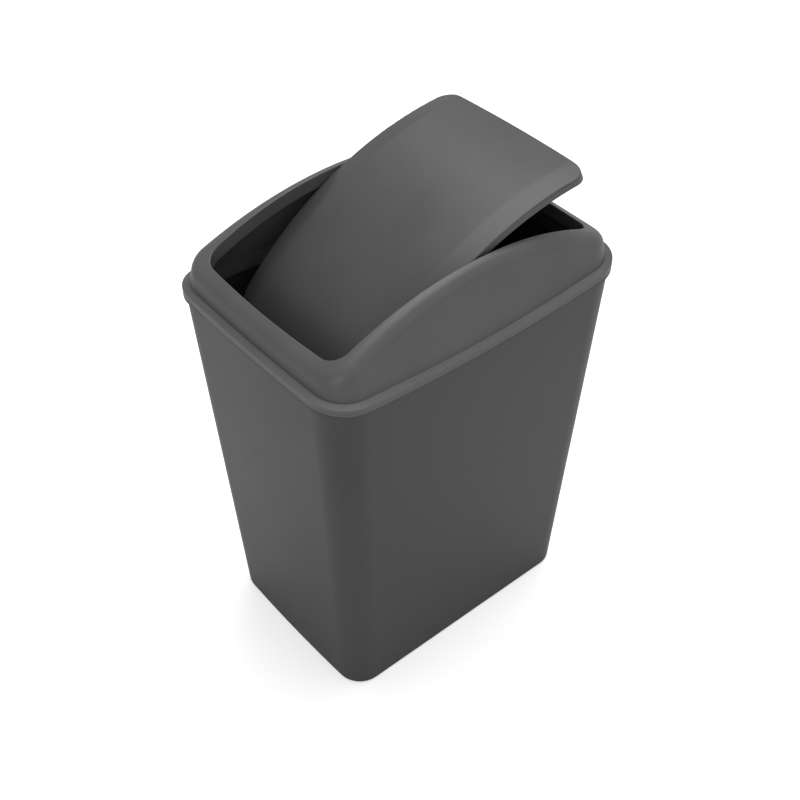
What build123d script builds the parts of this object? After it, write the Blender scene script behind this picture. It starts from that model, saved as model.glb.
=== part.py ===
from build123d import *
import math
import os

os.makedirs("parts", exist_ok=True)

# Swing-lid waste bin: a tapered bin, an arched lid surround that plugs into its rim, and an
# arched flap that swings on two moulded pins. Origin at the middle of the base, +Z up, the
# long sides along X. Millimetres.

# Rim and base of the bin
rim_length = 340.0
rim_width = 242.0
rim_corner = 35.5
rim_end_bow = 3.2
rim_height = 400.0
rim_dip = 10.0
base_length = 288.0
base_width = 203.0
base_corner = 26.0
base_end_bow = 2.6
bin_wall = 2.0
flange_overhang = 2.6
flange_thickness = 2.4
floor_thickness = 2.5
foot_width = 14.0
foot_height = 3.0
base_fillet = 4.0
inside_base_fillet = 6.0

# Lid surround
lid_wall = 2.2
crown_rise = 66.0
roof_radius = 328.0
wall_lean = 11.0
shoulder_radius = 13.5
bead_height = 9.0
bead_step = 2.6
bead_slope_height = 6.0
ledge_thickness = 2.4
plug_depth = 10.0
plug_clearance = 2.0
seat_gap = 0.3

# Opening in the roof, and the lip that hangs round it
end_land = 22.0
side_land = 29.0
opening_corner = 16.5
opening_end_bow = 3.5
lip_drop = 13.0
lip_thickness = 2.0
lip_edge_round = 0.9

# Flap
flap_side_gap = 1.5
flap_end_gap = 6.5
flap_corner = 15.0
flap_end_bow = 2.5
flap_thickness = 2.0
flap_band_width = 17.0
flap_band_drop = 4.2
flap_crease_radius = 28.0
flap_edge_depth = 7.0
flap_edge_round = 1.4
flap_open_angle = 26.0

# Pivot: pins moulded on the flap's ears, snapped into bearings in the lid's lip
pivot_depth = 13.0
pin_radius = 4.0
pin_clearance = 0.05
pin_chamfer = 0.8
pin_end_play = 0.6
ear_thickness = 2.5
ear_radius = 9.0
ear_half_width = 22.0
bearing_radius = 8.0
bearing_boss_length = 3.5
bearing_tab_half_width = 16.0
snap_slot_width = 7.0
gusset_thickness = 1.6
gusset_reach = 12.0
gusset_spacing = 20.0

# Worked out from the sizes above
over = 5.0
half_length = rim_length / 2
half_width = rim_width / 2
dip_radius = (half_length**2 + rim_dip**2) / (2 * rim_dip)
rim_middle = rim_height - rim_dip
crown = rim_height + crown_rise
roof_centre = crown - roof_radius
opening_half_length = half_length - end_land
opening_half_width = half_width - side_land
pivot_height = crown - pivot_depth
flap_half_length = opening_half_length - flap_end_gap
flap_half_width = opening_half_width - flap_side_gap
flap_band_slope = flap_band_drop / flap_band_width
flap_sweep = math.degrees(math.asin((flap_half_length + over) / roof_radius))
plug_inset = flange_overhang + bin_wall + plug_clearance
pin_length = flap_side_gap + lip_thickness + bearing_boss_length + pin_end_play
pivot_axis = Axis((0, 0, pivot_height), (0, 1, 0))
top_limit = crown + over
clear_width = rim_width + 2 * over
stock_height = rim_height + over


def outline(hl, hw, corner, bow):
    """Rounded rectangle with straight long sides and short sides that bow out."""
    with BuildSketch(Plane.XY, mode=Mode.PRIVATE) as sketch:
        with BuildLine():
            Line((-(hl - bow), -hw), (hl - bow, -hw))
            ThreePointArc((hl - bow, -hw), (hl, 0), (hl - bow, hw))
            Line((hl - bow, hw), (-(hl - bow), hw))
            ThreePointArc((-(hl - bow), hw), (-hl, 0), (-(hl - bow), -hw))
        make_face()
        fillet(sketch.vertices(), corner)
    return sketch.sketch


def rim_outline(inset):
    """The rim's outline, moved in by inset."""
    return outline(half_length - inset, half_width - inset, rim_corner - inset, rim_end_bow)


def bin_section(height, inset):
    """The bin wall's section at a height: it widens from the base to just under the flange."""
    share = height / rim_height
    hl = base_length / 2 + (half_length - flange_overhang - base_length / 2) * share
    hw = base_width / 2 + (half_width - flange_overhang - base_width / 2) * share
    corner = base_corner + (rim_corner - flange_overhang - base_corner) * share
    bow = base_end_bow + (rim_end_bow - base_end_bow) * share
    return outline(hl - inset, hw - inset, corner - inset, bow)


def opening_outline(outset):
    """The roof opening's outline, moved out by outset."""
    return outline(
        opening_half_length + outset,
        opening_half_width + outset,
        opening_corner + outset,
        opening_end_bow,
    )


def rim_band(low, high):
    """The block across the bin between two heights above the dipping rim surface."""
    reach = half_length + over
    end = rim_middle + dip_radius - math.sqrt(dip_radius**2 - reach**2)
    with BuildPart(mode=Mode.PRIVATE) as band:
        with BuildSketch(Plane.XZ):
            with BuildLine():
                ThreePointArc((-reach, end + low), (0, rim_middle + low), (reach, end + low))
                Line((reach, end + low), (reach, end + high))
                ThreePointArc((reach, end + high), (0, rim_middle + high), (-reach, end + high))
                Line((-reach, end + high), (-reach, end + low))
            make_face()
        extrude(amount=clear_width, both=True)
    return band.part


def under_roof(depth):
    """The block under the arched roof, lowered by depth, down to below the rim."""
    reach = half_length + over
    top = roof_radius - depth
    end = roof_centre + math.sqrt(top**2 - reach**2)
    low = rim_middle - 2 * over
    with BuildPart(mode=Mode.PRIVATE) as block:
        with BuildSketch(Plane.XZ):
            with BuildLine():
                ThreePointArc((-reach, end), (0, roof_centre + top), (reach, end))
                Polyline((reach, end), (reach, low), (-reach, low), (-reach, end))
            make_face()
        extrude(amount=clear_width, both=True)
    return block.part


# Bin body: a lofted bin, hollowed, with a raised floor panel inside a foot ring, and a thin
# flange turned out round a rim that dips along the long sides.
with BuildPart() as bin_body:
    with BuildSketch(Plane.XY):
        add(bin_section(0, 0))
    with BuildSketch(Plane.XY.offset(stock_height)):
        add(bin_section(stock_height, 0))
    loft(ruled=True)
    fillet(bin_body.faces().sort_by(Axis.Z)[0].edges(), base_fillet)

with BuildPart() as bin_hollow:
    with BuildSketch(Plane.XY.offset(floor_thickness)):
        add(bin_section(floor_thickness, bin_wall))
    with BuildSketch(Plane.XY.offset(stock_height)):
        add(bin_section(stock_height, bin_wall))
    loft(ruled=True)
    fillet(bin_hollow.faces().sort_by(Axis.Z)[0].edges(), inside_base_fillet)
    # the floor panel stands up inside the foot ring
    with BuildSketch(Plane.XY.offset(floor_thickness)):
        add(bin_section(0, foot_width - bin_wall))
    extrude(amount=foot_height, mode=Mode.SUBTRACT)

with BuildPart() as flange:
    with BuildSketch(Plane.XY.offset(rim_middle - over)):
        add(rim_outline(0))
        add(rim_outline(flange_overhang + bin_wall / 2), mode=Mode.SUBTRACT)
    extrude(amount=rim_dip + 2 * over)
    add(rim_band(-flange_thickness, 0), mode=Mode.INTERSECT)

with bin_body:
    add(rim_band(0, crown_rise), mode=Mode.SUBTRACT)
    add(flange.part)
    add(bin_hollow.part, mode=Mode.SUBTRACT)
    with BuildSketch(Plane.XY):
        add(bin_section(0, foot_width))
    extrude(amount=foot_height, mode=Mode.SUBTRACT)
bin_body.part.label = "bin_body"
export_step(bin_body.part, "parts/bin_body.step")

# Lid surround: leaning fender walls under an arched roof, joined by a soft shoulder and hollowed
# to an even wall. A bead runs round the foot, over the ledge that seats on the rim and the plug
# lip that drops inside it. The roof opening has a lip hanging round it.
def lid_block(inset):
    """The lid's outer form, moved in by inset, from below the rim up to the roof."""
    low = rim_middle - over
    with BuildPart(mode=Mode.PRIVATE) as block:
        with BuildSketch(Plane.XY.offset(low)):
            add(rim_outline(bead_step + inset))
        extrude(amount=top_limit - low, taper=wall_lean)
        add(under_roof(inset), mode=Mode.INTERSECT)
        roof_face = block.faces().sort_by(Axis.Z)[-1]
        fillet(roof_face.edges(), shoulder_radius - inset)
    return block.part


def ring(outer, inner, low, high):
    """The upright wall between two outlines, from one height to another."""
    with BuildPart(mode=Mode.PRIVATE) as wall:
        with BuildSketch(Plane.XY.offset(low)):
            add(outer)
            add(inner, mode=Mode.SUBTRACT)
        extrude(amount=high - low)
    return wall.part


rim_low = rim_middle - over - plug_depth
rim_high = rim_height + over + bead_height

# the bead's top slopes out from the wall
with BuildPart() as bead:
    with BuildSketch(Plane.XY.offset(rim_low)):
        add(rim_outline(0))
    extrude(amount=rim_high - rim_low)
    add(rim_band(seat_gap, seat_gap + bead_height), mode=Mode.INTERSECT)
    bead_top = bead.faces().sort_by(Axis.Z)[-1]
    chamfer(bead_top.edges(), length=bead_step, length2=bead_slope_height, reference=bead_top)

with BuildPart() as ledge:
    add(ring(rim_outline(0), rim_outline(plug_inset + lid_wall), rim_low, rim_high))
    add(rim_band(seat_gap, seat_gap + ledge_thickness), mode=Mode.INTERSECT)

with BuildPart() as plug_lip:
    add(ring(rim_outline(plug_inset), rim_outline(plug_inset + lid_wall), rim_low, rim_high))
    add(rim_band(-plug_depth, seat_gap + ledge_thickness / 2), mode=Mode.INTERSECT)

with BuildPart() as opening_lip:
    add(ring(opening_outline(lip_thickness), opening_outline(-over), rim_height, top_limit))
    add(under_roof(lid_wall / 2), mode=Mode.INTERSECT)
    add(under_roof(lip_drop), mode=Mode.SUBTRACT)

with BuildPart() as bearing:
    with BuildSketch(Plane.XZ.offset(-opening_half_width - lip_thickness)):
        with Locations((0, pivot_height)):
            Circle(bearing_radius + lip_thickness)
        with Locations((0, crown - lip_drop + lip_thickness)):
            Rectangle(2 * bearing_tab_half_width, lip_thickness)
        make_hull()
    extrude(amount=lip_thickness)
    with BuildSketch(Plane.XZ.offset(-opening_half_width)):
        with Locations((0, pivot_height)):
            Circle(bearing_radius)
    extrude(amount=-(lip_thickness + bearing_boss_length))
    mirror(about=Plane.XZ)

# each bore is open below through a slot a little narrower than the pin, so that the pin snaps in
with BuildPart() as bearing_bores:
    with BuildSketch(Plane.XZ):
        with Locations((0, pivot_height)):
            Circle(pin_radius + pin_clearance)
        with Locations((0, pivot_height - bearing_radius)):
            Rectangle(snap_slot_width, 2 * bearing_radius)
    extrude(amount=opening_half_width + lip_thickness + bearing_boss_length, both=True)

with BuildPart() as lid_frame:
    add(lid_block(0))
    add(bead.part)
    add(lid_block(lid_wall), mode=Mode.SUBTRACT)
    add(rim_band(-crown_rise, seat_gap), mode=Mode.SUBTRACT)
    add(opening_lip.part)
    with BuildSketch(Plane.XY.offset(rim_height)):
        add(opening_outline(0))
    extrude(amount=top_limit - rim_height, mode=Mode.SUBTRACT)
    opening_edges = [
        edge
        for edge in lid_frame.edges(Select.LAST)
        if abs(math.hypot((edge @ 0.5).X, (edge @ 0.5).Z - roof_centre) - roof_radius) < lip_edge_round / 10
    ]
    fillet(opening_edges, lip_edge_round)
    add(ledge.part)
    add(plug_lip.part)
    add(bearing.part)
    add(bearing_bores.part, mode=Mode.SUBTRACT)
lid_frame.part.label = "lid_frame"
export_step(lid_frame.part, "parts/lid_frame.step")


# Flap: a sheet bent to the roof's arch, flat across its middle, with a soft crease down to a
# sloping band along each long side and a shallow edge turned down all round. It is made shut and
# then swung open about its pins.
def flap_form(inset, depth):
    """The flap's outer form, moved in by inset, as deep as depth under the arch."""
    top = roof_radius - inset
    edge_y = flap_half_width - inset
    edge_top = top - flap_band_drop
    crease_y = flap_half_width - flap_band_width
    start = Plane(
        origin=(0, 0, roof_centre),
        x_dir=(0, 1, 0),
        z_dir=(math.cos(math.radians(flap_sweep)), 0, math.sin(math.radians(flap_sweep))),
    )
    with BuildPart(mode=Mode.PRIVATE) as form:
        with BuildSketch(start) as profile:
            with BuildLine():
                Polyline(
                    (-edge_y, roof_radius - depth),
                    (-edge_y, edge_top + flap_band_slope * inset),
                    (-crease_y, top),
                    (crease_y, top),
                    (edge_y, edge_top + flap_band_slope * inset),
                    (edge_y, roof_radius - depth),
                    close=True,
                )
            make_face()
            creases = [v for v in profile.vertices() if abs(abs(v.X) - crease_y) < 1 or abs(abs(v.Y) - crease_y) < 1]
            fillet(creases, flap_crease_radius)
        revolve(axis=Axis((0, 0, roof_centre), (0, 1, 0)), revolution_arc=2 * flap_sweep)
        with BuildSketch(Plane.XY.offset(rim_height - crown_rise)):
            add(
                outline(
                    flap_half_length - inset,
                    flap_half_width - inset,
                    flap_corner - inset,
                    flap_end_bow,
                )
            )
        extrude(amount=2 * crown_rise + over, mode=Mode.INTERSECT)
    return form.part


with BuildPart() as ear:
    with BuildSketch(Plane.XZ.offset(-flap_half_width)):
        with Locations((0, pivot_height)):
            Circle(ear_radius)
        with Locations((0, crown - flap_band_drop - 1.5 * flap_thickness)):
            Rectangle(2 * ear_half_width, flap_thickness)
        make_hull()
    extrude(amount=ear_thickness)
    # pin
    with BuildSketch(Plane.XZ.offset(-flap_half_width)):
        with Locations((0, pivot_height)):
            Circle(pin_radius)
    extrude(amount=-pin_length)
    chamfer(ear.edges().group_by(Axis.Y)[-1], pin_chamfer)
    # gussets from the ear to the sheet
    inner_y = flap_half_width - ear_thickness
    for gusset_x in (-gusset_spacing / 2, gusset_spacing / 2):
        with BuildSketch(Plane.YZ.offset(gusset_x)):
            with BuildLine():
                Polyline(
                    (inner_y, pivot_height),
                    (inner_y, crown - flap_band_drop + flap_band_slope * ear_thickness - flap_thickness / 2),
                    (
                        inner_y - gusset_reach,
                        crown
                        - flap_band_drop
                        + flap_band_slope * (ear_thickness + gusset_reach)
                        - flap_thickness / 2,
                    ),
                    (inner_y - gusset_reach, crown - flap_band_drop - flap_thickness),
                    close=True,
                )
            make_face()
        extrude(amount=gusset_thickness / 2, both=True)
    mirror(about=Plane.XZ)

def on_flap_edge(edge):
    """True for an edge round the top of the flap, and not for a crease or a corner's upright."""
    middle = edge @ 0.5
    depth = roof_radius - math.hypot(middle.X, middle.Z - roof_centre)
    at_side = abs(middle.Y) > flap_half_width - flap_thickness / 2
    at_end = abs(middle.X) > flap_half_length / 2
    return depth < flap_band_drop + flap_thickness / 2 and (at_side or at_end)


with BuildPart() as shut_flap:
    add(flap_form(0, flap_band_drop + flap_edge_depth))
    fillet(shut_flap.edges().filter_by(on_flap_edge), flap_edge_round)
    add(flap_form(flap_thickness, crown_rise), mode=Mode.SUBTRACT)
    add(ear.part)

with BuildPart() as swing_flap:
    add(shut_flap.part.rotate(pivot_axis, -flap_open_angle))
swing_flap.part.label = "swing_flap"
export_step(swing_flap.part, "parts/swing_flap.step")
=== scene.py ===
# Swing-lid waste bin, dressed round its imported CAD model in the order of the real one: bin, lid
# surround and flap, then the studio floor, lights and camera. Metres, +Z up.
import math

import bpy
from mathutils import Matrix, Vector

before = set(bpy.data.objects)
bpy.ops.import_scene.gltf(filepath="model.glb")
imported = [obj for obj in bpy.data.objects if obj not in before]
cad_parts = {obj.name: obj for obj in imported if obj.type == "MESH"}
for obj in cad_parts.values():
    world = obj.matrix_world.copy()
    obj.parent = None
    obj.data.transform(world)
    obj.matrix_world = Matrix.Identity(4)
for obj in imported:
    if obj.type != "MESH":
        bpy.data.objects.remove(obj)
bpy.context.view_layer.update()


# Bin body. One injection moulding in dark grey polypropylene, with walls that taper so that it
# comes off the mould. The mould leaves a fine even grain, and the colour clouds a little where
# the melt flowed.
def moulded_plastic(name, colour, roughness):
    """Matte moulded polypropylene: clouded colour, pale specks, fine grain and soft ripples."""
    reflection = 0.45
    cloud_scale = 14.0
    cloud_detail = 5.0
    cloud_low = 0.3
    cloud_high = 0.7
    cloud_share = 0.10
    speck_scale = 420.0
    speck_share = 0.015
    speck_radius = 0.14
    speck_gain = 2.2
    roughness_spread = 0.05
    grain_scale = 2600.0
    grain_strength = 0.5
    grain_height = 0.00006
    ripple_scale = 9.0
    ripple_strength = 0.25
    ripple_height = 0.0012
    material = bpy.data.materials.new(name)
    material.use_nodes = True
    nodes = material.node_tree.nodes
    links = material.node_tree.links
    shader = nodes["Principled BSDF"]
    shader.inputs["Specular IOR Level"].default_value = reflection
    place = nodes.new("ShaderNodeTexCoord")

    # the clouded colour
    cloud = nodes.new("ShaderNodeTexNoise")
    cloud.inputs["Scale"].default_value = cloud_scale
    cloud.inputs["Detail"].default_value = cloud_detail
    links.new(place.outputs["Object"], cloud.inputs["Vector"])
    tone = nodes.new("ShaderNodeMapRange")
    tone.inputs["From Min"].default_value = cloud_low
    tone.inputs["From Max"].default_value = cloud_high
    tone.inputs["To Min"].default_value = 1.0 - cloud_share
    tone.inputs["To Max"].default_value = 1.0 + cloud_share
    links.new(cloud.outputs["Fac"], tone.inputs["Value"])
    shaded = nodes.new("ShaderNodeVectorMath")
    shaded.operation = "SCALE"
    shaded.inputs[0].default_value = colour
    links.new(tone.outputs["Result"], shaded.inputs["Scale"])

    # a few pale specks: the middles of some of the cells
    specks = nodes.new("ShaderNodeTexVoronoi")
    specks.inputs["Scale"].default_value = speck_scale
    links.new(place.outputs["Object"], specks.inputs["Vector"])
    cell_lot = nodes.new("ShaderNodeSeparateColor")
    links.new(specks.outputs["Color"], cell_lot.inputs["Color"])
    chosen = nodes.new("ShaderNodeMath")
    chosen.operation = "GREATER_THAN"
    chosen.inputs[1].default_value = 1.0 - speck_share
    links.new(cell_lot.outputs["Red"], chosen.inputs[0])
    near = nodes.new("ShaderNodeMath")
    near.operation = "LESS_THAN"
    near.inputs[1].default_value = speck_radius
    links.new(specks.outputs["Distance"], near.inputs[0])
    on_speck = nodes.new("ShaderNodeMath")
    on_speck.operation = "MULTIPLY"
    links.new(chosen.outputs["Value"], on_speck.inputs[0])
    links.new(near.outputs["Value"], on_speck.inputs[1])
    dusted = nodes.new("ShaderNodeMix")
    dusted.data_type = "RGBA"
    dusted.inputs["B"].default_value = (*[speck_gain * share for share in colour], 1.0)
    links.new(on_speck.outputs["Value"], dusted.inputs["Factor"])
    links.new(shaded.outputs["Vector"], dusted.inputs["A"])
    links.new(dusted.outputs["Result"], shader.inputs["Base Color"])

    # the sheen varies with the clouds
    sheen = nodes.new("ShaderNodeMapRange")
    sheen.inputs["To Min"].default_value = roughness - roughness_spread
    sheen.inputs["To Max"].default_value = roughness + roughness_spread
    links.new(cloud.outputs["Fac"], sheen.inputs["Value"])
    links.new(sheen.outputs["Result"], shader.inputs["Roughness"])

    # fine grain over the slow ripples of a cooled wall
    ripples = nodes.new("ShaderNodeTexNoise")
    ripples.inputs["Scale"].default_value = ripple_scale
    links.new(place.outputs["Object"], ripples.inputs["Vector"])
    waves = nodes.new("ShaderNodeBump")
    waves.inputs["Strength"].default_value = ripple_strength
    waves.inputs["Distance"].default_value = ripple_height
    links.new(ripples.outputs["Fac"], waves.inputs["Height"])
    pits = nodes.new("ShaderNodeTexNoise")
    pits.inputs["Scale"].default_value = grain_scale
    links.new(place.outputs["Object"], pits.inputs["Vector"])
    grain = nodes.new("ShaderNodeBump")
    grain.inputs["Strength"].default_value = grain_strength
    grain.inputs["Distance"].default_value = grain_height
    links.new(pits.outputs["Fac"], grain.inputs["Height"])
    links.new(waves.outputs["Normal"], grain.inputs["Normal"])
    links.new(grain.outputs["Normal"], shader.inputs["Normal"])
    return material


def finish_node(name, material):
    """Gives a CAD node its material."""
    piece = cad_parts[name]
    piece.data.materials.clear()
    piece.data.materials.append(material)


# The bin's own dark grey, darkened further as painted shade so that the bin reads darker than the
# lid.
bin_grey_and_painted_shade = (0.029, 0.029, 0.028)
bin_roughness = 0.46
finish_node("bin_body", moulded_plastic("bin_plastic", bin_grey_and_painted_shade, bin_roughness))


# Lid surround. A second moulding in the same plastic: leaning walls under an arched roof, with the
# bead, ledge and plug lip round its foot and the snap bearings in its lip. It sits on the bin's
# rim by its own weight. Its grey is lighter than the bin's and the flap's, which carry painted
# shade.
lid_grey = (0.076, 0.076, 0.075)
lid_roughness = 0.42
finish_node("lid_frame", moulded_plastic("lid_plastic", lid_grey, lid_roughness))


# Flap. A thin arched moulding in the lid's plastic that swings on two pins moulded on its ears. It
# is a little more satin, where hands and bags rub it.
# The lid's plastic, darkened all over as painted shade for the shade the flap sits in within the
# lid.
flap_grey_and_painted_shade = (0.057, 0.057, 0.056)
flap_roughness = 0.40
finish_node("swing_flap", moulded_plastic("flap_plastic", flap_grey_and_painted_shade, flap_roughness))


# Studio floor. Wide white paper that takes the bin's soft shadow. To the camera the paper has a
# little light of its own, so that it reads as white away from the shadow.
floor_half = 6.0
paper_glow = 0.45
paper_white = (0.88, 0.88, 0.88, 1)
paper_roughness = 0.9
paper_reflection = 0.1
floor_mesh = bpy.data.meshes.new("floor")
floor_mesh.from_pydata(
    [
        (-floor_half, -floor_half, 0),
        (floor_half, -floor_half, 0),
        (floor_half, floor_half, 0),
        (-floor_half, floor_half, 0),
    ],
    [],
    [(0, 1, 2, 3)],
)
floor = bpy.data.objects.new("floor", floor_mesh)
bpy.context.scene.collection.objects.link(floor)
paper = bpy.data.materials.new("white_paper")
paper.use_nodes = True
paper_shader = paper.node_tree.nodes["Principled BSDF"]
paper_shader.inputs["Base Color"].default_value = paper_white
paper_shader.inputs["Roughness"].default_value = paper_roughness
paper_shader.inputs["Specular IOR Level"].default_value = paper_reflection
seen = paper.node_tree.nodes.new("ShaderNodeLightPath")
glow = paper.node_tree.nodes.new("ShaderNodeMath")
glow.operation = "MULTIPLY"
glow.inputs[1].default_value = paper_glow
paper.node_tree.links.new(seen.outputs["Is Camera Ray"], glow.inputs[0])
paper.node_tree.links.new(glow.outputs["Value"], paper_shader.inputs["Emission Strength"])
paper_shader.inputs["Emission Color"].default_value = (1, 1, 1, 1)
floor_mesh.materials.append(paper)


# Studio light. An even surround lights the bin from all round and shows as plain white to the
# camera and in reflections; a wide soft box overhead and one at each side model the form.
sky_level = 0.60
world = bpy.data.worlds.new("studio")
world.use_nodes = True
bpy.context.scene.world = world
sky = world.node_tree.nodes["Background"]
sky.inputs["Color"].default_value = (1, 1, 1, 1)
sky_path = world.node_tree.nodes.new("ShaderNodeLightPath")
white_to_camera = world.node_tree.nodes.new("ShaderNodeMapRange")
white_to_camera.inputs["To Min"].default_value = sky_level
white_to_camera.inputs["To Max"].default_value = 1.0
world.node_tree.links.new(sky_path.outputs["Is Camera Ray"], white_to_camera.inputs["Value"])
world.node_tree.links.new(white_to_camera.outputs["Result"], sky.inputs["Strength"])


def soft_box(name, place, aim, width, height, watts):
    """Puts an area light at place and turns it to face aim."""
    data = bpy.data.lights.new(name, "AREA")
    data.shape = "RECTANGLE"
    data.size = width
    data.size_y = height
    data.energy = watts
    lamp = bpy.data.objects.new(name, data)
    lamp.location = place
    lamp.rotation_euler = (Vector(aim) - Vector(place)).to_track_quat("-Z", "Y").to_euler()
    bpy.context.scene.collection.objects.link(lamp)


soft_box("top_box", place=(0.5, 0.3, 2.2), aim=(0, 0, 0.4), width=1.6, height=1.6, watts=26)
soft_box("left_box", place=(-2.0, -1.0, 1.2), aim=(0, 0, 0.3), width=1.2, height=1.8, watts=10)
soft_box("front_box", place=(1.0, -2.2, 1.4), aim=(0, 0, 0.3), width=1.4, height=1.4, watts=4)


# Camera. It looks at the lid along the direction in which the lid was photographed, but level and
# from farther off, and is turned down so that the whole bin is in the frame.
lid_centre = Vector((0, 0, 0.430))
view_azimuth = math.radians(-40.0)
view_elevation = math.radians(36.0)
view_distance = 1.15
aim_height = 0.245
lens_share = 1.62
sensor = 36.0
toward_camera = Vector(
    (
        math.sin(view_azimuth) * math.cos(view_elevation),
        -math.cos(view_azimuth) * math.cos(view_elevation),
        math.sin(view_elevation),
    )
)
camera_data = bpy.data.cameras.new("camera")
camera_data.sensor_width = sensor
camera_data.lens = lens_share * sensor
camera = bpy.data.objects.new("camera", camera_data)
camera.location = lid_centre + toward_camera * view_distance
camera.rotation_euler = (
    (Vector((0, 0, aim_height)) - camera.location).to_track_quat("-Z", "Y").to_euler()
)
bpy.context.scene.collection.objects.link(camera)
bpy.context.scene.camera = camera

bpy.context.scene.view_settings.view_transform = "Standard"
